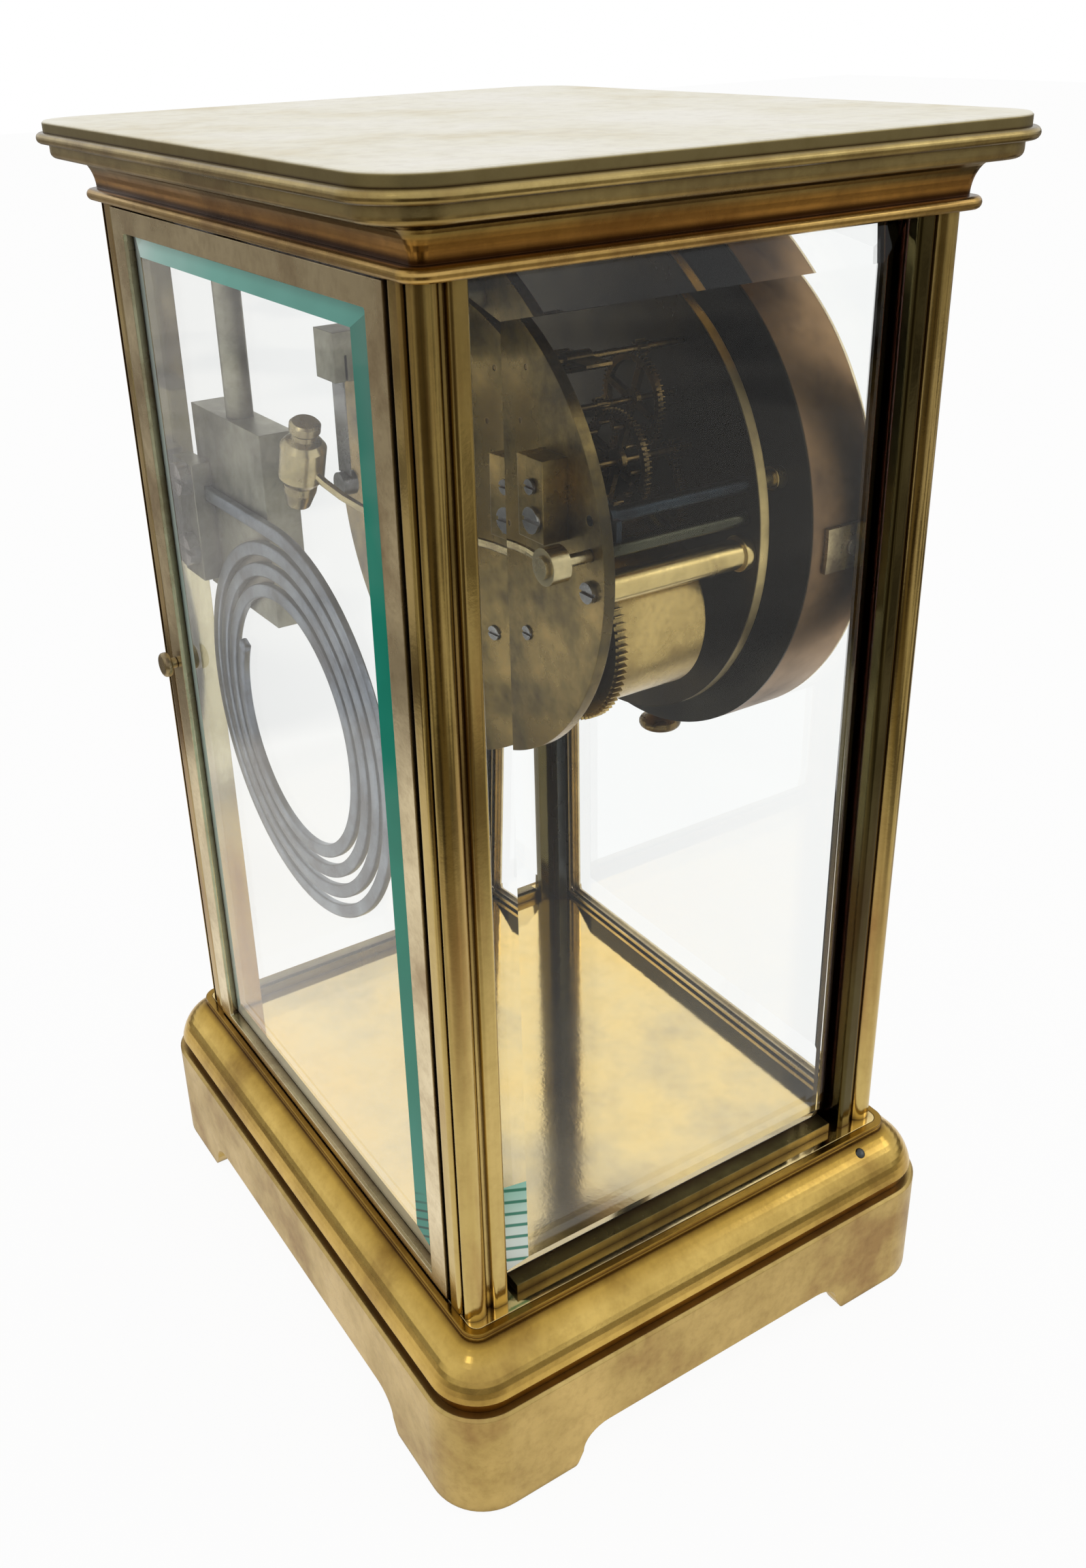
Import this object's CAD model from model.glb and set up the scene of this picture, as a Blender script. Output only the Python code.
# %% [markdown]
# # A brass clock with four bevelled glasses
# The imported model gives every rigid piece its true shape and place, in metres. This lesson dresses it: it sets the
# camera and the light, gives each metal its age, cuts the glass into faces that take different finishes, and adds
# the fine things that are too small for the model, such as the figures on the dial.

# %% The fixed frame
import math

import bmesh
import bpy
from mathutils import Matrix, Vector


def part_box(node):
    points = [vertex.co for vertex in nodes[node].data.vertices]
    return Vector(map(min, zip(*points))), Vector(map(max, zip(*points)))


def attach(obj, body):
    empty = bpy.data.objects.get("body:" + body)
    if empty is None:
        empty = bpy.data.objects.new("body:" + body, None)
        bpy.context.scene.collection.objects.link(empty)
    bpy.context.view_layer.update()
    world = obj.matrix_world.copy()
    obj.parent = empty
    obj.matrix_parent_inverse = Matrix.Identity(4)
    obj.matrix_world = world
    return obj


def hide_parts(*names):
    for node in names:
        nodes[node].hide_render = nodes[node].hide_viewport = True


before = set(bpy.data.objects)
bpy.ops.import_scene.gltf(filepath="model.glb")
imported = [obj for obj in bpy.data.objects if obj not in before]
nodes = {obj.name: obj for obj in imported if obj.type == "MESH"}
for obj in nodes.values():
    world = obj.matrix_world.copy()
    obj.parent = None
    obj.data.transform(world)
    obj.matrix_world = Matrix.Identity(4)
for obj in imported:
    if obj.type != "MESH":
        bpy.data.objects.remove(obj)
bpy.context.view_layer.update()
scene = bpy.context.scene
scene.view_settings.view_transform = "Standard"

# %% [markdown]
# ## Camera
# The picture was taken close by, from above the rear left corner, so its uprights lean towards each other. A camera can
# be turned by hand until the edges seem to fit, but here the place, the three directions and the focal length come from
# a fit to the corners of the case. They go straight into the camera's matrix, and the shift moves the picture's centre.

# %% Camera at the picture's place
PICTURE = (1596, 2305)
FOCAL_PX = 2177.4
MIDDLE_PX = (745.5, 1077.2)
SENSOR_MM = 36
camera_at = Vector((-0.2618, 0.1628, 0.2885))
picture_right = Vector((-0.5376, -0.8427, -0.0288))
picture_up = Vector((0.3617, -0.2613, 0.8949))
picture_back = Vector((-0.7617, 0.4707, 0.4453))

lens = bpy.data.cameras.new("picture_camera")
lens.sensor_width = SENSOR_MM
lens.lens = SENSOR_MM * FOCAL_PX / PICTURE[1]
lens.shift_x = (PICTURE[0] / 2 - MIDDLE_PX[0]) / PICTURE[1]
lens.shift_y = (MIDDLE_PX[1] - PICTURE[1] / 2) / PICTURE[1]
lens.clip_start = 0.01
camera = bpy.data.objects.new("picture_camera", lens)
scene.collection.objects.link(camera)
turn = Matrix((picture_right, picture_up, picture_back)).transposed()
camera.matrix_world = Matrix.Translation(camera_at) @ turn.to_4x4()
scene.camera = camera
print("lens:", round(lens.lens, 2), "mm")

# %% [markdown]
# ## Light
# Polished brass is a mirror, so what stands around it matters more than the lamps. The camera and the glass see a plain
# white room. Brass sees a pale ceiling above a dim band at eye level, as a real room has beyond a lit table, because
# upright faces mirror that band and would look like plaster without it. Two weak soft lamps give the highlights. Strong
# ones would turn the pale top plate into a white sheet.

# %% Small helpers for shader nodes
WHITE, BLACK = (1, 1, 1), (0, 0, 0)


def add(tree, kind, inputs=None, **settings):
    """Adds a shader node, sets its properties and the values of its inputs, and returns it."""
    made = tree.nodes.new(kind)
    for name, value in settings.items():
        setattr(made, name, value)
    for name, value in (inputs or {}).items():
        made.inputs[name].default_value = value
    return made


def join(tree, source, target):
    """Links an output socket to an input socket."""
    tree.links.new(source, target)


def new_material(name):
    """An empty node material with its output node."""
    made = bpy.data.materials.new(name)
    made.use_nodes = True
    made.node_tree.nodes.clear()
    return made, made.node_tree, add(made.node_tree, "ShaderNodeOutputMaterial")


def tones(tree, fac, stops):
    """A colour ramp through (position, colour) stops."""
    ramp = add(tree, "ShaderNodeValToRGB")
    elements = ramp.color_ramp.elements
    elements[0].position, elements[0].color = stops[0][0], (*stops[0][1], 1)
    elements[1].position, elements[1].color = stops[-1][0], (*stops[-1][1], 1)
    for position, colour in stops[1:-1]:
        elements.new(position).color = (*colour, 1)
    join(tree, fac, ramp.inputs["Fac"])
    return ramp.outputs["Color"]


def blend_colours(tree, fac, first, second, how="MIX"):
    """Mixes two colours, each a socket or a tuple, by a factor socket or number."""
    mix = add(tree, "ShaderNodeMix", data_type="RGBA", blend_type=how)
    for value, socket in ((fac, mix.inputs[0]), (first, mix.inputs[6]), (second, mix.inputs[7])):
        if isinstance(value, bpy.types.NodeSocket):
            join(tree, value, socket)
        else:
            socket.default_value = value if isinstance(value, float) else (*value, 1)
    return mix.outputs[2]


# %% Which rays see what
def ray_kinds(tree):
    """Two switches: one for rays from the camera or through glass, one for rays that a shiny face mirrors."""
    path = add(tree, "ShaderNodeLightPath")
    seen = add(tree, "ShaderNodeMath", operation="MAXIMUM")
    join(tree, path.outputs["Is Camera Ray"], seen.inputs[0])
    join(tree, path.outputs["Is Transmission Ray"], seen.inputs[1])
    mirrored = add(tree, "ShaderNodeMath", operation="SUBTRACT", use_clamp=True)
    join(tree, path.outputs["Is Glossy Ray"], mirrored.inputs[0])
    join(tree, path.outputs["Is Transmission Ray"], mirrored.inputs[1])
    return seen.outputs[0], mirrored.outputs[0]


def by_ray(tree, plain, seen, mirrored):
    """Joins three shaders: for light that falls on things, for what is seen, and for what is mirrored."""
    see, mirror = ray_kinds(tree)
    first = add(tree, "ShaderNodeMixShader")
    second = add(tree, "ShaderNodeMixShader")
    for fac, shaders, mix in ((see, (plain, seen), first), (mirror, (first, mirrored), second)):
        join(tree, fac, mix.inputs[0])
        join(tree, shaders[0].outputs[0], mix.inputs[1])
        join(tree, shaders[1].outputs[0], mix.inputs[2])
    return second.outputs[0]


# %% White room with a dim band
ROOM_LIGHT = 0.75
ROOM_TINT = (1, 0.99, 0.97)
CEILING = (0.93, 0.93, 0.93)
DIM_THINGS = [(0.4, (0.10, 0.09, 0.075)), (0.56, (0.42, 0.40, 0.36))]
BAND_END = [(0.51, BLACK), (0.56, WHITE)]
world = bpy.data.worlds.new("white_room")
scene.world = world
world.use_nodes = True
sky = world.node_tree
sky.nodes.clear()
way = add(sky, "ShaderNodeTexCoord")
height = add(sky, "ShaderNodeSeparateXYZ")
rise = add(sky, "ShaderNodeMapRange", {"From Min": -1.0, "From Max": 1.0})
shapes = add(sky, "ShaderNodeTexNoise", {"Scale": 1.6, "Detail": 2.0})
join(sky, way.outputs["Generated"], height.inputs[0])
join(sky, height.outputs["Z"], rise.inputs["Value"])
join(sky, way.outputs["Generated"], shapes.inputs["Vector"])
things = tones(sky, shapes.outputs["Fac"], DIM_THINGS)
above = tones(sky, rise.outputs["Result"], BAND_END)
mirrored = add(sky, "ShaderNodeBackground", {"Strength": 1.0})
join(sky, blend_colours(sky, above, things, CEILING), mirrored.inputs["Color"])
seen = add(sky, "ShaderNodeBackground", {"Color": (*WHITE, 1), "Strength": 1.0})
cast = add(sky, "ShaderNodeBackground", {"Color": (*ROOM_TINT, 1), "Strength": ROOM_LIGHT})
join(sky, by_ray(sky, cast, seen, mirrored), add(sky, "ShaderNodeOutputWorld").inputs["Surface"])
print("room light:", ROOM_LIGHT)


# %% Soft lamps
def soft_lamp(name, place, target, size, watts):
    """A square area lamp that faces a point."""
    lamp = bpy.data.lights.new(name, "AREA")
    lamp.size = size
    lamp.energy = watts
    made = bpy.data.objects.new(name, lamp)
    made.location = place
    made.rotation_euler = (Vector(target) - Vector(place)).to_track_quat("-Z", "Y").to_euler()
    scene.collection.objects.link(made)


soft_lamp("key_lamp", place=(-0.5, 1.0, 1.25), target=(0, 0, 0.12), size=0.3, watts=0.7)
soft_lamp("side_lamp", place=(-0.7, -0.9, 0.8), target=(0, 0, 0.1), size=0.4, watts=0.8)

# %% [markdown]
# ## Floor
# The floor is a white table. A plain white plane would do for the camera, but brass would mirror it as flat cream. So
# the paint asks which kind of ray looks at it. Most of what the camera sees is even white, and only a faint shadow
# stays under the case. In reflections the table is pale near the clock and falls off into a dim room with one dark
# side, so a post mirrors cream at its foot and brown towards its head.

# %% What metal mirrors of the floor
DARK_SIDE = (-0.89, 0.45, 0)
TABLE_REACH = {"From Min": 0.1, "From Max": 1.1}
TABLE_TONES = [(0.0, (0.95, 0.90, 0.82)), (0.16, (0.80, 0.74, 0.64)), (0.36, (0.52, 0.47, 0.39)),
               (0.7, (0.42, 0.38, 0.32))]
TABLE_END = [(0.08, BLACK), (0.25, WHITE)]
ROOM_THINGS = [(0.42, (0.12, 0.10, 0.08)), (0.52, WHITE)]
SIDE_TONES = [(0.84, WHITE), (0.95, (0.24, 0.20, 0.13))]


def room_around(tree):
    """Colour of a pale table that ends in a dim room, with things in it and one dark side."""
    place = add(tree, "ShaderNodeTexCoord").outputs["Object"]
    far = add(tree, "ShaderNodeVectorMath", operation="LENGTH")
    spread = add(tree, "ShaderNodeMapRange", TABLE_REACH)
    join(tree, place, far.inputs[0])
    join(tree, far.outputs["Value"], spread.inputs["Value"])
    falls = tones(tree, spread.outputs["Result"], TABLE_TONES)
    beyond = tones(tree, spread.outputs["Result"], TABLE_END)
    shapes = add(tree, "ShaderNodeTexNoise", {"Scale": 4.5, "Detail": 1.5})
    join(tree, place, shapes.inputs["Vector"])
    things = tones(tree, shapes.outputs["Fac"], ROOM_THINGS)
    room = blend_colours(tree, beyond, falls, blend_colours(tree, 1.0, falls, things, "MULTIPLY"))
    level = add(tree, "ShaderNodeVectorMath", {1: (1, 1, 0)}, operation="MULTIPLY")
    ahead = add(tree, "ShaderNodeVectorMath", operation="NORMALIZE")
    facing = add(tree, "ShaderNodeVectorMath", {1: DARK_SIDE}, operation="DOT_PRODUCT")
    join(tree, place, level.inputs[0])
    join(tree, level.outputs[0], ahead.inputs[0])
    join(tree, ahead.outputs[0], facing.inputs[0])
    side = tones(tree, facing.outputs["Value"], SIDE_TONES)
    return blend_colours(tree, beyond, room, blend_colours(tree, 1.0, room, side, "MULTIPLY"))


# %% Floor
FLOOR_HALF = 4.0
FLOOR_HEIGHT = -0.0006
EVEN_SHARE = 0.94


def floor_paint():
    """White paint, seen as mostly even white, and mirrored as a table in a room."""
    made, tree, out = new_material("floor_paint")
    shaded = add(tree, "ShaderNodeBsdfDiffuse", {"Color": (0.9, 0.9, 0.9, 1)})
    even = add(tree, "ShaderNodeEmission", {"Color": (*WHITE, 1), "Strength": 1.0})
    mostly = add(tree, "ShaderNodeMixShader", {0: EVEN_SHARE})
    join(tree, shaded.outputs[0], mostly.inputs[1])
    join(tree, even.outputs[0], mostly.inputs[2])
    mirrored = add(tree, "ShaderNodeEmission", {"Strength": 1.0})
    join(tree, room_around(tree), mirrored.inputs["Color"])
    join(tree, by_ray(tree, shaded, mostly, mirrored), out.inputs["Surface"])
    return made


def new_mesh(name, points, faces):
    """A mesh from points and faces."""
    mesh = bpy.data.meshes.new(name)
    mesh.from_pydata(points, [], faces)
    return mesh


def show(name, mesh):
    """An object in the scene that carries a mesh."""
    made = bpy.data.objects.new(name, mesh)
    scene.collection.objects.link(made)
    return made


square = [(x * FLOOR_HALF, y * FLOOR_HALF, FLOOR_HEIGHT) for x, y in ((-1, -1), (1, -1), (1, 1), (-1, 1))]
floor = show("floor", new_mesh("floor", square, [(0, 1, 2, 3)]))
floor.data.materials.append(floor_paint())
print("floor laid")

# %% [markdown]
# ## Brass
# Old lacquered brass is never one colour. Rubbed places stay gold, the rest dulls to olive and brown, and dirt
# stays dark in the grooves. One recipe serves all brass here: broad patches choose between three tones and set the
# roughness, fine grain breaks them up, and ambient occlusion finds the grooves. Along a moulding the tarnish also
# follows the height, so a piece may carry bands of tint. A bevel node rounds the sharp edges in the shading alone.

# %% Patches and bands
def patches(tree, noise, grain=(1, 1, 1)):
    """A noise over the clock's own coordinates, stretched by a grain for each axis."""
    place = add(tree, "ShaderNodeTexCoord")
    mapping = add(tree, "ShaderNodeMapping", {"Scale": grain})
    texture = add(tree, "ShaderNodeTexNoise", noise)
    join(tree, place.outputs["Object"], mapping.inputs["Vector"])
    join(tree, mapping.outputs["Vector"], texture.inputs["Vector"])
    return texture.outputs["Fac"]


def tint_along(tree, axis, stops):
    """Tints along one axis of the clock, from (millimetres, colour) stops."""
    low, high = stops[0][0], stops[-1][0]
    place = add(tree, "ShaderNodeTexCoord")
    parts = add(tree, "ShaderNodeSeparateXYZ")
    spread = add(tree, "ShaderNodeMapRange", {"From Min": low / 1000, "From Max": high / 1000})
    join(tree, place.outputs["Object"], parts.inputs[0])
    join(tree, parts.outputs[axis], spread.inputs["Value"])
    return tones(tree, spread.outputs["Result"], [((p - low) / (high - low), c) for p, c in stops])


# %% Aged brass
FINER = 11
GRAIN_TONES = [(0.3, (0.72, 0.68, 0.62)), (0.55, WHITE), (0.75, (1.0, 0.98, 0.92))]
BROWN_AT, OLIVE_AT, GOLD_AT = 0.34, 0.48, 0.64
SHINE_SPAN = {"From Min": 0.3, "From Max": 0.7}
DENT_DEPTH = 0.0004


def aged_metal(name, gold, olive, brown, grain=(1, 1, 1), patch=45, rough=(0.16, 0.42), dirt=(0.05, 0.022, 0.012),
               dirt_reach=0.003, dirt_span=(0.25, 0.8), edge=0.0003, specks=0.6, bands=None, dents=0.06):
    """Metal with three tones in patches, fine grain, dark grooves, bands of tint and softened edges."""
    made, tree, out = new_material(name)
    broad = patches(tree, {"Scale": patch, "Detail": 5.0, "Roughness": 0.62}, grain)
    fine = patches(tree, {"Scale": patch * FINER, "Detail": 4.0, "Roughness": 0.7})
    colour = tones(tree, broad, [(BROWN_AT, brown), (OLIVE_AT, olive), (GOLD_AT, gold)])
    colour = blend_colours(tree, specks, colour, tones(tree, fine, GRAIN_TONES), "MULTIPLY")
    if bands:
        colour = blend_colours(tree, 1.0, colour, tint_along(tree, *bands), "MULTIPLY")
    hidden = add(tree, "ShaderNodeAmbientOcclusion", {"Distance": dirt_reach}, samples=6)
    grooves = tones(tree, hidden.outputs["AO"], [(dirt_span[0], WHITE), (dirt_span[1], BLACK)])
    colour = blend_colours(tree, grooves, colour, dirt)
    shine = add(tree, "ShaderNodeMapRange", {**SHINE_SPAN, "To Min": rough[1], "To Max": rough[0]})
    join(tree, broad, shine.inputs["Value"])
    rounded = add(tree, "ShaderNodeBevel", {"Radius": edge}, samples=4)
    bump = add(tree, "ShaderNodeBump", {"Strength": dents, "Distance": DENT_DEPTH})
    join(tree, fine, bump.inputs["Height"])
    join(tree, rounded.outputs["Normal"], bump.inputs["Normal"])
    metal = add(tree, "ShaderNodeBsdfPrincipled", {"Metallic": 1.0})
    join(tree, colour, metal.inputs["Base Color"])
    join(tree, shine.outputs["Result"], metal.inputs["Roughness"])
    join(tree, bump.outputs["Normal"], metal.inputs["Normal"])
    join(tree, metal.outputs[0], out.inputs["Surface"])
    return made


def finish_nodes(material, *names):
    """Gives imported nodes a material."""
    for name in names:
        nodes[name].data.materials.clear()
        nodes[name].data.materials.append(material)
    print(material.name, "on", len(names), "nodes")


# %% Brass of the base
UNDER_LIP, UPPER_LIP = (0.5, 0.36, 0.22), (0.5, 0.43, 0.3)
moulding_bands = ("Z", [(27.8, UNDER_LIP), (30.4, UNDER_LIP), (30.9, WHITE), (37.5, WHITE), (39.6, (0.74, 0.68, 0.5)),
                        (40.3, (0.3, 0.24, 0.15)), (40.8, UPPER_LIP), (42.5, UPPER_LIP)])
plinth_brass = aged_metal("plinth_brass", (0.59, 0.43, 0.16), (0.48, 0.345, 0.12), (0.36, 0.225, 0.08), patch=38,
                          rough=(0.26, 0.44), specks=0.5)
moulding_brass = aged_metal("moulding_brass", (0.70, 0.49, 0.14), (0.57, 0.39, 0.105), (0.38, 0.24, 0.065), patch=34,
                            rough=(0.12, 0.28), specks=0.4, bands=moulding_bands)
floor_brass = aged_metal("floor_brass", (0.96, 0.68, 0.24), (0.88, 0.68, 0.32), (0.66, 0.55, 0.33), patch=12,
                         rough=(0.05, 0.13), specks=0.25, dirt_reach=0.004)
rail_brass = aged_metal("rail_brass", (0.30, 0.235, 0.09), (0.20, 0.155, 0.06), (0.10, 0.075, 0.03), patch=30,
                        rough=(0.2, 0.4))
strap_brass = aged_metal("strap_brass", (0.085, 0.09, 0.085), (0.06, 0.065, 0.065), (0.035, 0.036, 0.035), patch=40,
                         rough=(0.2, 0.36), specks=0.3)
finish_nodes(plinth_brass, "base_plinth")
finish_nodes(moulding_brass, "base_moulding")
finish_nodes(floor_brass, "floor_plate")
finish_nodes(rail_brass, "side_rails")
finish_nodes(strap_brass, "strap_left", "strap_right")

# %% Brass of the cornice and the top
PLATE_EDGE = (0.32, 0.27, 0.14)
cornice_bands = ("Z", [(251.9, (0.88, 0.72, 0.44)), (254.0, (0.80, 0.62, 0.36)), (254.35, (0.12, 0.06, 0.03)),
                       (254.9, (0.2, 0.1, 0.04)), (255.8, (0.92, 0.58, 0.26)), (257.2, (0.66, 0.42, 0.18)),
                       (258.6, (0.34, 0.28, 0.15)), (260.5, (0.4, 0.34, 0.22)), (261.4, (0.7, 0.62, 0.44)),
                       (262.2, (0.74, 0.72, 0.6)), (263.3, (0.7, 0.68, 0.56)), (263.65, (0.2, 0.16, 0.1)),
                       (264.2, (0.66, 0.6, 0.42)), (265.4, (0.66, 0.6, 0.42)), (265.8, (0.24, 0.2, 0.12))])
top_bands = ("Z", [(265.8, (0.26, 0.2, 0.1)), (266.2, PLATE_EDGE), (267.6, PLATE_EDGE), (267.9, WHITE), (268.0, WHITE)])
cornice_brass = aged_metal("cornice_brass", (0.72, 0.60, 0.33), (0.58, 0.48, 0.26), (0.40, 0.30, 0.16), patch=30,
                           rough=(0.14, 0.32), specks=0.5, dirt_reach=0.0015, bands=cornice_bands)
top_brass = aged_metal("top_brass", (0.94, 0.91, 0.81), (0.88, 0.845, 0.71), (0.78, 0.71, 0.53), patch=22,
                       rough=(0.32, 0.46), dirt_reach=0.0006, specks=0.35, bands=top_bands)
finish_nodes(cornice_brass, "cornice")
finish_nodes(top_brass, "top_plate")

# %% Brass of the posts and doors
MAROON = (0.055, 0.016, 0.009)
INNER_GREY, PALE_FACE = (0.16, 0.17, 0.17), (1.15, 1.35, 2.3)
POST_TONES = (0.70, 0.54, 0.22), (0.56, 0.43, 0.16), (0.38, 0.23, 0.085)
post_look = dict(grain=(1.7, 1.7, 0.25), patch=26, rough=(0.10, 0.2), dirt=MAROON, dirt_reach=0.0022,
                 dirt_span=(0.2, 0.75), specks=0.3)
inner_bands = ("Y", [(-60, WHITE), (-51.9, WHITE), (-51.2, INNER_GREY), (-44, INNER_GREY)])
pale_bands = ("X", [(-62.2, WHITE), (-61.4, PALE_FACE), (61.4, PALE_FACE), (62.2, WHITE)])
post_brass = aged_metal("post_brass", *POST_TONES, **post_look, bands=pale_bands)
front_post_brass = aged_metal("front_post_brass", *POST_TONES, **post_look, bands=inner_bands)
door_brass = aged_metal("door_brass", (0.86, 0.76, 0.53), (0.74, 0.64, 0.43), (0.50, 0.39, 0.24), patch=40,
                        rough=(0.16, 0.34), dirt=MAROON, dirt_reach=0.0015, specks=0.5)
knob_brass = aged_metal("knob_brass", (0.50, 0.40, 0.22), (0.36, 0.29, 0.16), (0.20, 0.15, 0.09), patch=160,
                        rough=(0.2, 0.38), dirt_reach=0.001, edge=0.0001)
finish_nodes(post_brass, "post_rear_left", "post_rear_right")
finish_nodes(front_post_brass, "post_front_left", "post_front_right")
finish_nodes(door_brass, "rear_door_frame", "front_door_frame", "bezel")
finish_nodes(knob_brass, "rear_door_knob", "front_door_knob", "drum_lugs")

# %% Plates, drum and pillars
SOOT = (0.012, 0.012, 0.010)
DRUM_BACK, PLATE_BACK = (0.06, 0.085, 0.11), (0.06, 0.06, 0.075)
plate_y = [1000 * corner.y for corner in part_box("front_plate")]
drum_bands = ("Y", [(-50.4, WHITE), (-34.9, WHITE), (-34.5, DRUM_BACK), (-34.2, DRUM_BACK)])
plate_bands = ("Y", [(plate_y[0], WHITE), (plate_y[1] - 0.5, WHITE), (plate_y[1] - 0.15, PLATE_BACK),
                     (plate_y[1], PLATE_BACK)])
plate_brass = aged_metal("plate_brass", (0.34, 0.235, 0.08), (0.20, 0.145, 0.05), (0.08, 0.06, 0.026), patch=60,
                         rough=(0.2, 0.4), dirt=SOOT, dirt_reach=0.02, dirt_span=(0.2, 0.6))
dark_plate = aged_metal("dark_plate", (0.58, 0.45, 0.19), (0.36, 0.28, 0.12), (0.2, 0.15, 0.075), patch=40,
                        rough=(0.24, 0.42), dirt=SOOT, dirt_reach=0.001, bands=plate_bands, dents=0.0, specks=0.15)
drum_brass = aged_metal("drum_brass", (0.34, 0.21, 0.10), (0.25, 0.155, 0.075), (0.14, 0.09, 0.05), patch=35,
                        rough=(0.3, 0.5), dirt=SOOT, dirt_reach=0.001, bands=drum_bands, dents=0.0, specks=0.15)
pillar_brass = aged_metal("pillar_brass", (0.62, 0.48, 0.20), (0.52, 0.40, 0.16), (0.38, 0.28, 0.11), patch=70,
                          rough=(0.16, 0.3), dirt=SOOT, dirt_reach=0.002, specks=0.3)
finish_nodes(plate_brass, "back_plate", "hammer_spring_block")
finish_nodes(dark_plate, "front_plate")
finish_nodes(drum_brass, "drum")
finish_nodes(pillar_brass, "plate_pillars", "drum_pillars")

# %% Wheels, hammer and steel
HAMMER_TAIL = (0.1, 0.12, 0.14)
hammer_bands = ("Y", [(-28.4, HAMMER_TAIL), (10.0, HAMMER_TAIL), (11.5, WHITE), (51.5, WHITE)])
wheel_brass = aged_metal("wheel_brass", (0.50, 0.365, 0.135), (0.43, 0.31, 0.11), (0.33, 0.23, 0.08), patch=70,
                         rough=(0.18, 0.36), dirt=SOOT, dirt_reach=0.02, dirt_span=(0.12, 0.5), edge=0.0001)
train_brass = aged_metal("train_brass", (0.24, 0.155, 0.055), (0.13, 0.09, 0.035), (0.06, 0.042, 0.02), patch=120,
                         rough=(0.18, 0.36), dirt=SOOT, dirt_reach=0.002, edge=0.0001)
hammer_brass = aged_metal("hammer_brass", (0.55, 0.46, 0.25), (0.42, 0.35, 0.19), (0.26, 0.21, 0.12), patch=90,
                          rough=(0.16, 0.32), dirt_reach=0.001, edge=0.0001, bands=hammer_bands, specks=0.2)
gong_brass = aged_metal("gong_brass", (0.37, 0.35, 0.26), (0.27, 0.26, 0.19), (0.16, 0.15, 0.11), patch=60,
                        rough=(0.3, 0.5))
steel = aged_metal("steel", (0.34, 0.34, 0.33), (0.22, 0.22, 0.215), (0.11, 0.105, 0.10), patch=90,
                   rough=(0.18, 0.36), dirt_reach=0.001, edge=0.0001)
blued_steel = aged_metal("blued_steel", (0.022, 0.03, 0.036), (0.017, 0.023, 0.028), (0.013, 0.015, 0.018), patch=90,
                         rough=(0.2, 0.38), dirt_reach=0.001, edge=0.0001)
finish_nodes(wheel_brass, "going_barrel", "strike_barrel", "minute_wheel", "hour_wheel")
finish_nodes(train_brass, "going_second_wheel", "centre_wheel", "third_wheel", "escape_wheel", "strike_second_wheel",
             "pin_wheel", "warning_wheel", "fly", "thumb_knob")
finish_nodes(hammer_brass, "hammer")
finish_nodes(gong_brass, "gong_rod", "gong_block", "gong_clamp", "suspension_cock")
finish_nodes(steel, "door_pins", "movement_screws", "going_winding_arbor", "going_click", "strike_winding_arbor",
             "strike_click", "pallet_anchor", "suspension_spring", "gong_screws")
finish_nodes(blued_steel, "hour_hand", "minute_hand", "lifting_lever")

# %% [markdown]
# ## Glass
# Thick plate glass is clear through its face and green along its edge. The model's panes refract, so pieces behind a
# bevel show twice. In the rear door's right and top bevels the light runs along inside the pane and comes
# out green, after far more reflections than a renderer follows. At the foot of the side pane the same light makes a
# ladder of pale steps. So three panes are built again in the same place, with bevels as wide as the picture shows.
# These bevels are clear to someone who faces them, and turn to the tints at a glance, as the layer weight node tells.

# %% Clear glass
GLASS_TINT = (0.992, 1.0, 0.997)
GLASS_GLOSS = {"IOR": 1.5, "Specular Tint": (0.3, 0.3, 0.3, 1)}


def clear_glass(name, tint):
    """Refracting glass that lets the lamps' light through to the pieces behind it."""
    made, tree, out = new_material(name)
    glass = add(tree, "ShaderNodeBsdfPrincipled", {"Base Color": (*tint, 1), "Transmission Weight": 1.0,
                                                   "Roughness": 0.0, **GLASS_GLOSS})
    open_way = add(tree, "ShaderNodeBsdfTransparent", {"Color": (*tint, 1)})
    path = add(tree, "ShaderNodeLightPath")
    mix = add(tree, "ShaderNodeMixShader")
    join(tree, path.outputs["Is Shadow Ray"], mix.inputs[0])
    join(tree, glass.outputs[0], mix.inputs[1])
    join(tree, open_way.outputs[0], mix.inputs[2])
    join(tree, mix.outputs[0], out.inputs["Surface"])
    return made


pane_glass = clear_glass("pane_glass", GLASS_TINT)
finish_nodes(pane_glass, "front_door_glass")

# %% Painted bevels
WAVE_STEP = 0.314
LINES_FADE = 6
CLOUD_TONES = [(0.35, (0.7, 0.8, 0.78)), (0.6, WHITE)]


def slanted_lines(tree, slant, pitch, dark):
    """Dark lines on white at a slant. A wave texture of scale 1 repeats at each wave step."""
    size = pitch / WAVE_STEP
    place = add(tree, "ShaderNodeTexCoord")
    mapping = add(tree, "ShaderNodeMapping", {"Rotation": slant, "Scale": (size, size, size)}, vector_type="TEXTURE")
    wave = add(tree, "ShaderNodeTexWave", {"Scale": 1.0}, wave_type="BANDS", bands_direction="Z")
    join(tree, place.outputs["Object"], mapping.inputs["Vector"])
    join(tree, mapping.outputs["Vector"], wave.inputs["Vector"])
    return tones(tree, wave.outputs["Fac"], [(0.08, dark), (0.25, WHITE)])


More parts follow.
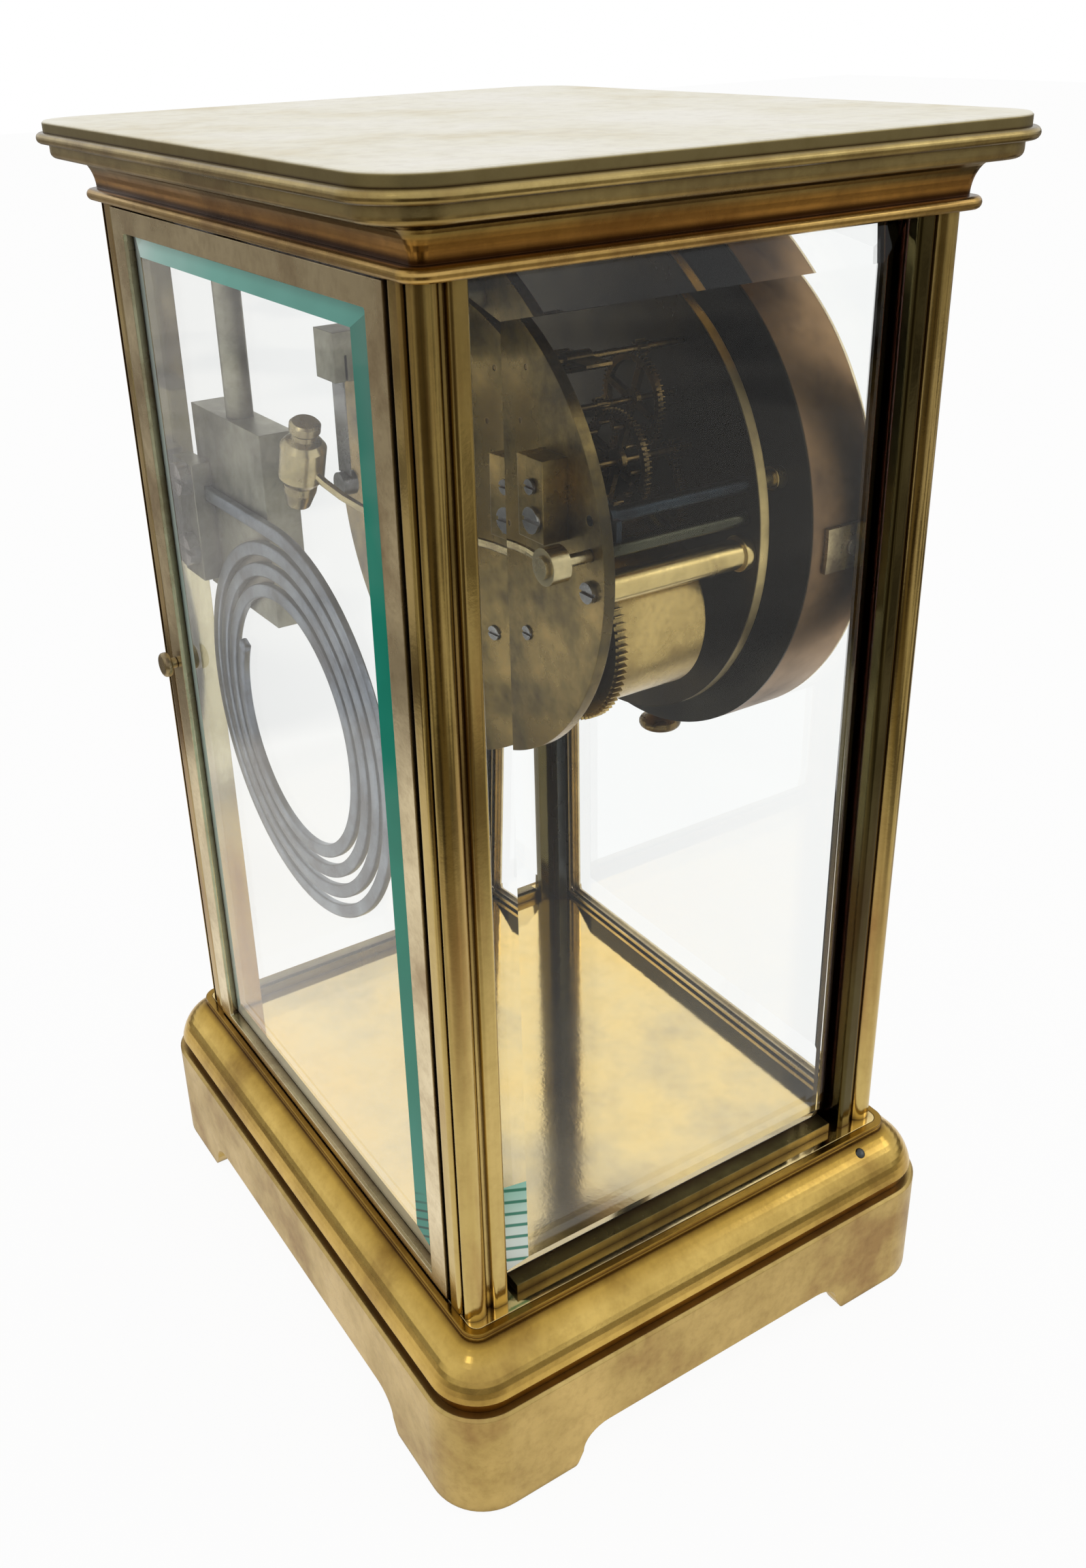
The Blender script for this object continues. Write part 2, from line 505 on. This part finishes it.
def bevel_paint(name, axis, tints, lines=None, turns=(0.2, 0.42)):
    """A bevel lit from inside the pane: clear when faced, and at a glance tints along an axis, with dark lines."""
    made, tree, out = new_material(name)
    cloud = tones(tree, patches(tree, {"Scale": 60.0, "Detail": 2.0}), CLOUD_TONES)
    colour = blend_colours(tree, 0.5, tint_along(tree, axis, tints), cloud, "MULTIPLY")
    if lines:
        slant, pitch, top, dark = lines
        lined = blend_colours(tree, 1.0, colour, slanted_lines(tree, slant, pitch, dark), "MULTIPLY")
        low = tint_along(tree, "Z", [(top - LINES_FADE, WHITE), (top, BLACK)])
        colour = blend_colours(tree, low, colour, lined)
    facing = add(tree, "ShaderNodeLayerWeight", {"Blend": 0.5})
    clear = add(tree, "ShaderNodeMapRange", {"From Min": turns[0], "From Max": turns[1], "To Min": 1.0, "To Max": 0.0})
    join(tree, facing.outputs["Facing"], clear.inputs["Value"])
    colour = blend_colours(tree, clear.outputs["Result"], colour, GLASS_TINT)
    face = add(tree, "ShaderNodeBsdfPrincipled", {"Roughness": 0.02, **GLASS_GLOSS})
    join(tree, clear.outputs["Result"], face.inputs["Transmission Weight"])
    join(tree, colour, face.inputs["Base Color"])
    join(tree, face.outputs[0], out.inputs["Surface"])
    return made


# %% Tints of the bevels
TEAL, SEA, MIST = (0.016, 0.25, 0.175), (0.10, 0.36, 0.30), (0.72, 0.86, 0.83)
deep_tints = [(44, (0.05, 0.32, 0.25)), (90, TEAL), (190, TEAL), (246, (0.02, 0.22, 0.165))]
head_tints = [(-55, SEA), (10, (0.15, 0.45, 0.38)), (40, (0.38, 0.64, 0.58)), (55, MIST)]
foot_tints = [(-55, (0.46, 0.39, 0.25)), (0, (0.60, 0.53, 0.39)), (55, (0.74, 0.70, 0.60))]
far_tints = [(44, MIST), (120, (0.55, 0.72, 0.69)), (246, (0.50, 0.56, 0.55))]
ladder_tints = [(44, (0.95, 0.98, 0.96)), (56, (0.86, 0.95, 0.9)), (70, (0.35, 0.68, 0.55))]
deep_lines = ((0, 0.5, 0), 0.0021, 64, (0.2, 0.25, 0.25))
ladder_lines = ((0.25, 0, 0), 0.0031, 90, (0.10, 0.32, 0.25))
deep_bevel = bevel_paint("deep_bevel", "Z", deep_tints, deep_lines)
head_bevel = bevel_paint("head_bevel", "X", head_tints)
foot_bevel = bevel_paint("foot_bevel", "X", foot_tints)
far_bevel = bevel_paint("far_bevel", "Z", far_tints)
ladder_bevel = bevel_paint("ladder_bevel", "Z", ladder_tints, ladder_lines, turns=(0.1, 0.25))
print("bevel tints:", [m.name for m in (deep_bevel, head_bevel, foot_bevel, far_bevel, ladder_bevel)])

# %% A pane with bevels of its own
BEVEL_DROP = 0.0018


def point_outwards(mesh, cut=None):
    """Turns a mesh's faces outwards, after splitting them at a height where one is given."""
    work = bmesh.new()
    work.from_mesh(mesh)
    if cut:
        all_of_it = work.verts[:] + work.edges[:] + work.faces[:]
        bmesh.ops.bisect_plane(work, geom=all_of_it, plane_co=(0, 0, cut), plane_no=(0, 0, 1))
    bmesh.ops.recalc_face_normals(work, faces=work.faces)
    work.to_mesh(mesh)
    work.free()


def bevelled_pane(name, node, widths, facing, out=1, cut=None):
    """A pane in the model's place whose bevels (low side, high side, foot, head) have a width each."""
    low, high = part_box(node)
    side = "x" if facing == "y" else "y"
    low_side, high_side, foot, head = widths
    near, away = getattr(low, facing), getattr(high, facing)
    inner_face, outer_face = (near, away) if out > 0 else (away, near)
    edge_face = outer_face - out * BEVEL_DROP
    a, b = getattr(low, side), getattr(high, side)
    outer = [(a, low.z), (b, low.z), (b, high.z), (a, high.z)]
    inner = [(a + low_side, low.z + foot), (b - high_side, low.z + foot),
             (b - high_side, high.z - head), (a + low_side, high.z - head)]
    points = [(s, inner_face, z) for s, z in outer] + [(s, edge_face, z) for s, z in outer]
    points += [(s, outer_face, z) for s, z in inner]
    if facing == "x":
        points = [(depth, s, z) for s, depth, z in points]
    faces = [(0, 1, 2, 3), (11, 10, 9, 8)]
    faces += [(i, i + 4, (i + 1) % 4 + 4, (i + 1) % 4) for i in range(4)]
    faces += [(i + 4, i + 8, (i + 1) % 4 + 8, (i + 1) % 4 + 4) for i in range(4)]
    mesh = new_mesh(name, points, faces)
    point_outwards(mesh, cut)
    mesh.materials.append(pane_glass)
    made = show(name, mesh)
    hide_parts(node)
    return made


def paint_bevel(pane, material, test):
    """Gives the pane's faces that pass a test on (centre, normal) a material."""
    pane.data.materials.append(material)
    painted = [f for f in pane.data.polygons if test(f.center, f.normal)]
    for face in painted:
        face.material_index = len(pane.data.materials) - 1
    print(pane.name, "has", len(painted), "faces of", material.name)


# %% The rear door's pane and the two side panes
REAR_WIDTHS = (0.009, 0.008, 0.008, 0.0058)
LEFT_WIDTHS = (0.008, 0.0095, 0.004, 0.008)
RIGHT_WIDTHS = (0.008, 0.008, 0.008, 0.008)
LADDER_TOP = 0.07
SLANT, OUTWARD = 0.1, 0.5
rear_pane = bevelled_pane("rear_pane", "rear_door_glass", REAR_WIDTHS, "y")
paint_bevel(rear_pane, deep_bevel, lambda c, n: n.x < -SLANT and n.y > OUTWARD)
paint_bevel(rear_pane, head_bevel, lambda c, n: n.z > SLANT and n.y > OUTWARD)
paint_bevel(rear_pane, foot_bevel, lambda c, n: n.z < -SLANT and n.y > OUTWARD)
paint_bevel(rear_pane, far_bevel, lambda c, n: n.x > SLANT and n.y > OUTWARD)
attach(rear_pane, "rear_door")
side_pane = bevelled_pane("side_pane", "side_glass_left", LEFT_WIDTHS, "x", -1, cut=LADDER_TOP)
paint_bevel(side_pane, ladder_bevel, lambda c, n: n.y > SLANT and n.x < -OUTWARD and c.z < LADDER_TOP)
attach(side_pane, "case")
right_pane = bevelled_pane("right_pane", "side_glass_right", RIGHT_WIDTHS, "x")
paint_bevel(right_pane, far_bevel, lambda c, n: n.y > SLANT and n.x > OUTWARD)
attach(right_pane, "case")

# %% [markdown]
# ## Plug in the base
# A small dark plug fills a hole in the slope of the base, beside the front post. A dome of rings is turned to the
# slope's own direction and sunk into it, since a ball would sit on the brass like a bead.

# %% Base plug
PLUG_SIDES = 24
PLUG_AT, SLOPE_FACES = (-0.07426, -0.04814, 0.03911), (-0.556, 0, 0.831)


def domed_plug(name, centre, axis, radius, rise, sunk):
    """A shallow dome on a short shank along an axis."""
    sides = PLUG_SIDES
    turn = Vector((0, 0, 1)).rotation_difference(Vector(axis))
    rings = [(radius, -sunk), (radius, 0.0), (radius * 0.8, rise * 0.6), (radius * 0.45, rise * 0.92)]
    angles = [2 * math.pi * i / sides for i in range(sides)]
    points = [Vector((r * math.cos(a), r * math.sin(a), h)) for r, h in rings for a in angles] + [Vector((0, 0, rise))]
    points = [turn @ point + Vector(centre) for point in points]
    faces = [(k * sides + i, k * sides + (i + 1) % sides, (k + 1) * sides + (i + 1) % sides, (k + 1) * sides + i)
             for k in range(len(rings) - 1) for i in range(sides)]
    last = (len(rings) - 1) * sides
    faces += [(last + i, last + (i + 1) % sides, last + sides) for i in range(sides)]
    faces += [tuple(reversed(range(sides)))]
    return show(name, new_mesh(name, points, faces))


plug = domed_plug("base_plug", PLUG_AT, SLOPE_FACES, radius=0.00125, rise=0.0004, sunk=0.0008)
plug.data.materials.append(strap_brass)
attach(plug, "case")
print("plug faces:", len(plug.data.polygons))

# %% [markdown]
# ## Gong
# The gong is a flat steel strip wound into a spiral. The model carries it as a coarse sweep. A curve with a bevel could
# make it smoother, but its strip may twist, so here a section with rounded edges is carried along the same spiral in
# many more steps.

# %% Spiral gong
GONG = {"x": 0.010, "y": 0.047, "z": 0.147, "r": 0.044, "pitch": 0.0046, "turns": 3.83, "wide": 0.003, "thick": 0.0018}
LEAD_X = (0.0552, 0.046, 0.036, 0.026, 0.018)
STEPS_PER_TURN = 96


def gong_points(per_turn):
    """Centre line of the strip, from the clamp along the lead and round the spiral."""
    g = GONG
    top = g["z"] + g["r"]
    points = [Vector((x, g["y"], top)) for x in LEAD_X]
    for i in range(int(g["turns"] * per_turn) + 1):
        k = i / per_turn
        a = math.radians(90 + 360 * k)
        r = g["r"] - g["pitch"] * k
        points.append(Vector((g["x"] + r * math.cos(a), g["y"], g["z"] + r * math.sin(a))))
    return points


def strip_section(wide, thick, corner=0.0004, steps=3):
    """Rectangle with round corners as (across, through) pairs."""
    ring = []
    for cx, cy, start in ((1, 1, 0), (-1, 1, 90), (-1, -1, 180), (1, -1, 270)):
        for i in range(steps + 1):
            a = math.radians(start + 90 * i / steps)
            ring.append((cx * (wide / 2 - corner) + corner * math.cos(a),
                         cy * (thick / 2 - corner) + corner * math.sin(a)))
    return ring


def sweep(name, path, section, through):
    """A closed strip along a path. through is the direction of the section's second coordinate."""
    count = len(section)
    points, faces = [], []
    for i, p in enumerate(path):
        along = (path[min(i + 1, len(path) - 1)] - path[max(i - 1, 0)]).normalized()
        across = along.cross(through).normalized()
        points += [p + across * a + through * b for a, b in section]
    for i in range(len(path) - 1):
        for j in range(count):
            k = (j + 1) % count
            faces.append((i * count + j, i * count + k, (i + 1) * count + k, (i + 1) * count + j))
    faces.append(tuple(range(count)))
    faces.append(tuple(reversed(range((len(path) - 1) * count, len(path) * count))))
    mesh = new_mesh(name, points, faces)
    point_outwards(mesh)
    mesh.polygons.foreach_set("use_smooth", [True] * len(mesh.polygons))
    return show(name, mesh)


gong_steel = aged_metal("gong_steel", (0.24, 0.27, 0.31), (0.17, 0.19, 0.22), (0.11, 0.11, 0.12), patch=80,
                        rough=(0.28, 0.45), dirt_reach=0.0008, edge=0.0001)
strip = strip_section(GONG["wide"], GONG["thick"])
gong = sweep("spiral_gong", gong_points(STEPS_PER_TURN), strip, Vector((0, 1, 0)))
gong.data.materials.append(gong_steel)
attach(gong, "case")
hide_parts("gong_coil")
print("gong faces:", len(gong.data.polygons))

# %% [markdown]
# ## Dial
# The front isn't in the picture, so the dial is plain and usual for such a clock: white enamel, upright figures and a
# minute ring. An image could carry the figures, but flat text that is turned into a mesh and laid just on the enamel
# stays sharp at any size.

# %% Enamel and paint
def painted(name, noise, stops, gloss):
    """A finish whose colour follows a noise through stops, with the gloss of its shader."""
    made, tree, out = new_material(name)
    paint = add(tree, "ShaderNodeBsdfPrincipled", gloss)
    join(tree, tones(tree, patches(tree, noise), stops), paint.inputs["Base Color"])
    join(tree, paint.outputs[0], out.inputs["Surface"])
    return made


enamel = painted("enamel", {"Scale": 30.0, "Detail": 4.0}, [(0.3, (0.80, 0.77, 0.69)), (0.7, (0.88, 0.86, 0.80))],
                 {"Roughness": 0.16, "Coat Weight": 0.4, "Coat Roughness": 0.05})
black_paint = painted("black_paint", {"Scale": 400.0, "Detail": 3.0},
                      [(0.3, (0.008, 0.008, 0.01)), (0.75, (0.03, 0.03, 0.035))], {"Roughness": 0.3})
finish_nodes(enamel, "dial")

# %% Figures
DIAL_CENTRE = Vector((0, 0, 0.190))
DIAL_FACE_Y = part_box("dial")[0].y
FIGURES = ["XII", "I", "II", "III", "IIII", "V", "VI", "VII", "VIII", "IX", "X", "XI"]
FIGURE_RADIUS = 0.0395
FIGURE_SIZE, FIGURE_DEPTH, FIGURE_LIFT = 0.0118, 0.00004, 0.00005
NARROW = Matrix.Diagonal((0.72, 1.15, 1, 1))


def on_dial(radius, degrees, lift):
    """A point on the dial, clockwise from twelve, lifted off the enamel."""
    a = math.radians(degrees)
    return DIAL_CENTRE + Vector((radius * math.sin(a), DIAL_FACE_Y - lift, radius * math.cos(a)))


def dial_figure(i, text):
    """One figure as a thin mesh on the dial, its foot towards the centre."""
    curve = bpy.data.curves.new("figure", "FONT")
    curve.body = text
    curve.align_x = "CENTER"
    curve.align_y = "CENTER"
    curve.size = FIGURE_SIZE
    curve.extrude = FIGURE_DEPTH
    word = show("figure_word", curve)
    depsgraph = bpy.context.evaluated_depsgraph_get()
    mesh = bpy.data.meshes.new_from_object(word.evaluated_get(depsgraph))
    bpy.data.objects.remove(word)
    stand = Matrix.Rotation(math.radians(90), 4, "X")
    turn = Matrix.Rotation(math.radians(30 * i), 4, "Y")
    mesh.transform(Matrix.Translation(on_dial(FIGURE_RADIUS, 30 * i, FIGURE_LIFT)) @ turn @ stand @ NARROW)
    mesh.materials.append(black_paint)
    made = show("figure_%02d" % (i + 1), mesh)
    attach(made, "case")
    return made


figures = [dial_figure(i, text) for i, text in enumerate(FIGURES)]
print("figures:", len(figures))

# %% Minute ring
INNER_RING, OUTER_RING = (0.0477, 0.0479), (0.0503, 0.0505)
RING_LIFT = 0.00008
RING_STEP = 2
FIVE_MINUTES_HALF, MINUTE_HALF = 0.9, 0.28


def minute_ring():
    """Two thin circles with sixty marks between them, wider at each five minutes."""
    marks = [(r0, r1, a, a + RING_STEP) for r0, r1 in (INNER_RING, OUTER_RING) for a in range(0, 360, RING_STEP)]
    for k in range(60):
        half = FIVE_MINUTES_HALF if k % 5 == 0 else MINUTE_HALF
        marks.append((INNER_RING[1], OUTER_RING[0], 6 * k - half, 6 * k + half))
    points = []
    for r0, r1, start, end in marks:
        points += [on_dial(r, a, RING_LIFT) for r, a in ((r0, start), (r1, start), (r1, end), (r0, end))]
    faces = [tuple(range(i, i + 4)) for i in range(0, len(points), 4)]
    mesh = new_mesh("minute_ring", points, faces)
    mesh.materials.append(black_paint)
    return show("minute_ring", mesh)


ring = minute_ring()
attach(ring, "case")
print("minute ring faces:", len(ring.data.polygons))
